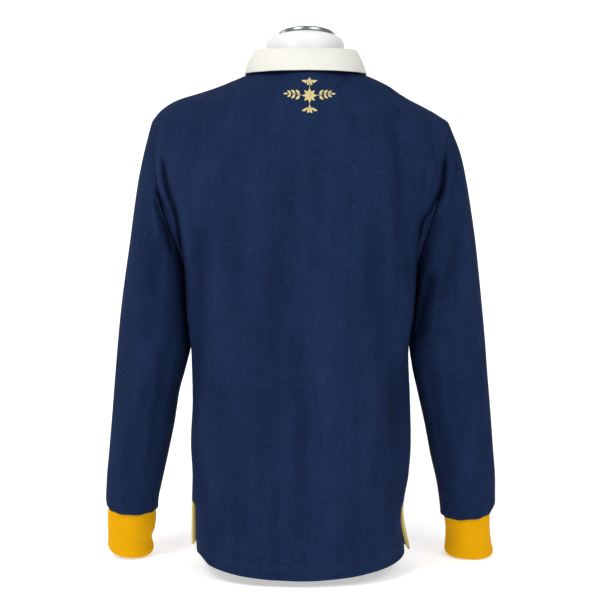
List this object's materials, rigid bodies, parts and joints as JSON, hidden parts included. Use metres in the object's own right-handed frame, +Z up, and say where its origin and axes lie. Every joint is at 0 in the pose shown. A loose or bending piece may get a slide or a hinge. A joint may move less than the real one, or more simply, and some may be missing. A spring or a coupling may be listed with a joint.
{
  "type": "rugby shirt on a dress form",
  "caption": "Navy long-sleeved rugby shirt with an ivory twill collar, yellow knit cuffs and gold vent tapes, on a limbless white dress form with a bright neck plate.",
  "frame": {"origin": "on the ground, under the middle of the part's bounding box; the form's flat foot stands on that plane", "axes": "+Z up, +Y the way the wearer faces, +X towards the wearer's right"},
  "size_m": [0.6242, 0.2502, 0.8364],
  "materials": {
    "navy_jersey": "matte heavy cotton jersey",
    "yellow_knit": "matte knit",
    "ivory_twill": "matte twill",
    "gold_tape": "matte tape",
    "ivory_button": "satin",
    "white_form": "satin",
    "chrome": "polished"
  },
  "bodies": {
    "root": {"body_back": "navy_jersey", "body_front": "navy_jersey", "sleeve_left": "navy_jersey", "sleeve_right": "navy_jersey", "cuff_left": "yellow_knit", "cuff_right": "yellow_knit", "collar": "ivory_twill", "placket": "ivory_twill", "button_1": "ivory_button", "button_2": "ivory_button", "button_3": "ivory_button", "vent_tape_left": "gold_tape", "vent_tape_right": "gold_tape", "form_torso": "white_form", "form_cap": "chrome"}
  },
  "joints": []
}
